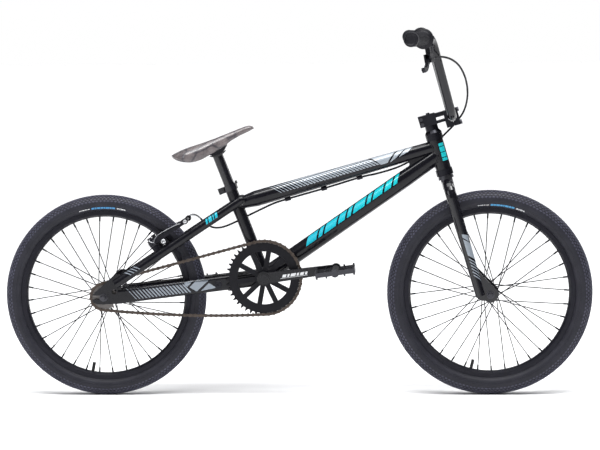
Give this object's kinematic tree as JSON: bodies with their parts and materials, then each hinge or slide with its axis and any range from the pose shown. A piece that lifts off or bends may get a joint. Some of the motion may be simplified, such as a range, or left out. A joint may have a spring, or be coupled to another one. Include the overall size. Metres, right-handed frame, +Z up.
{
  "type": "bicycle",
  "caption": "BMX race bike with 20 inch spoked wheels, black welded frame and fork, swept handlebar, single-speed chain drive, rear rim brake and a translucent saddle",
  "frame": {"origin": "On the ground, half way along the bike and in its middle plane, at the bottom centre of its bounding box", "axes": "+X forward, towards the front wheel; +Y to the rider's left, away from the chain; +Z up"},
  "size_m": [1.422, 0.7378, 0.8859],
  "materials": {
    "frame_black": "gloss",
    "part_black": "satin",
    "rubber_black": "matte",
    "silver": "satin",
    "chain_brown": "satin",
    "smoke": "gloss"
  },
  "bodies": {
    "frame": {"head_tube": "frame_black", "top_tube": "frame_black", "down_tube": "frame_black", "seat_tube": "frame_black", "bb_shell": "frame_black", "chainstay_right": "frame_black", "chainstay_left": "frame_black", "seatstay_right": "frame_black", "seatstay_left": "frame_black", "rear_dropouts": "frame_black", "frame_gussets": "frame_black", "frame_fittings": "part_black", "seat_clamp": "part_black", "bearing_cups": "part_black", "frame_bearings": "silver", "rear_axle": "part_black", "chain": "chain_brown", "cable_frame": "rubber_black", "cable_cross": "rubber_black"},
    "steering": {"fork_steerer": "part_black", "fork_legs": "frame_black", "fork_dropouts": "frame_black", "headset_spacers": "part_black", "stem_body": "part_black", "stem_faceplate": "part_black", "stem_bolts": "part_black", "handlebar": "part_black", "grips": "rubber_black", "lever_body": "part_black", "front_axle": "part_black", "cable_lever": "rubber_black"},
    "front_wheel": {"front_tyre": "rubber_black", "front_inner_tube": "rubber_black", "front_rim": "part_black", "front_spokes": "part_black", "front_hub": "part_black", "front_bearings": "silver"},
    "rear_wheel": {"rear_tyre": "rubber_black", "rear_inner_tube": "rubber_black", "rear_rim": "part_black", "rear_spokes": "part_black", "rear_hub": "part_black", "rear_bearings": "silver"},
    "freewheel": {"rear_cog": "silver"},
    "crankset": {"chainring": "part_black", "crank_spindle": "part_black", "crank_arms": "part_black", "pedal_spindles": "silver"},
    "pedal_r": {"pedal_right": "part_black"},
    "pedal_l": {"pedal_left": "part_black"},
    "lever": {"brake_lever": "part_black"},
    "brake_r": {"brake_arm_right": "part_black", "brake_pad_right": "rubber_black"},
    "brake_l": {"brake_arm_left": "part_black", "brake_pad_left": "rubber_black", "brake_noodle": "silver", "brake_wire": "silver"},
    "post": {"seat_post": "part_black"},
    "seat": {"saddle": "smoke", "saddle_base": "part_black"}
  },
  "joints": [
    {"name": "steering_turn", "type": "hinge", "parent": "frame", "child": "steering", "pos_m": [0.35889, 0, 0.524], "axis": [-0.2756, 0, 0.9613], "range_deg": [-75, 75], "deforming": ["cable_cross"]},
    {"name": "front_wheel_spin", "type": "hinge", "parent": "steering", "child": "front_wheel", "pos_m": [0.463, 0, 0.248], "axis": [0, 1, 0], "continuous": true},
    {"name": "rear_wheel_spin", "type": "hinge", "parent": "frame", "child": "rear_wheel", "pos_m": [-0.467, 0, 0.244], "axis": [0, 1, 0], "continuous": true},
    {"name": "crank_spin", "type": "hinge", "parent": "frame", "child": "crankset", "pos_m": [-0.0802, 0, 0.289], "axis": [0, 1, 0], "continuous": true, "deforming": ["chain"]},
    {"name": "freewheel_spin", "type": "hinge", "parent": "frame", "child": "freewheel", "pos_m": [-0.467, 0, 0.244], "axis": [0, 1, 0], "continuous": true, "deforming": ["chain"]},
    {"name": "pedal_right_spin", "type": "hinge", "parent": "crankset", "child": "pedal_r", "pos_m": [0.09322, -0.11, 0.31245], "axis": [0, 1, 0], "continuous": true},
    {"name": "pedal_left_spin", "type": "hinge", "parent": "crankset", "child": "pedal_l", "pos_m": [-0.25362, 0.11, 0.26555], "axis": [0, 1, 0], "continuous": true},
    {"name": "brake_lever_pull", "type": "hinge", "parent": "steering", "child": "lever", "pos_m": [0.31358, -0.22056, 0.81374], "axis": [-0.9596, 0.2215, -0.1736], "range_deg": [0, 24], "stiffness_Nm_per_rad": 1, "springref_deg": -5.73},
    {"name": "brake_right_close", "type": "hinge", "parent": "frame", "child": "brake_r", "pos_m": [-0.34811, -0.044, 0.37128], "axis": [-0.5484, 0, 0.8362], "range_deg": [0, 3.3]},
    {"name": "brake_left_close", "type": "hinge", "parent": "frame", "child": "brake_l", "pos_m": [-0.34811, 0.044, 0.37128], "axis": [0.5484, 0, -0.8362], "range_deg": [0, 3.3], "deforming": ["brake_wire", "brake_noodle"]},
    {"name": "seat_post_slide", "type": "slide", "parent": "frame", "child": "post", "axis": [-0.3584, 0, 0.9336], "range_m": [-0.04, 0.05]},
    {"name": "seat_tilt", "type": "hinge", "parent": "post", "child": "seat", "pos_m": [-0.2017, 0, 0.6135], "axis": [0, 1, 0], "range_deg": [-7, 7]}
  ],
  "couplings": [
    {"joint": "freewheel_spin", "follows": "crank_spin", "ratio": 2.75},
    {"joint": "brake_right_close", "follows": "brake_lever_pull", "ratio": 0.1375},
    {"joint": "brake_left_close", "follows": "brake_lever_pull", "ratio": 0.1375}
  ]
}
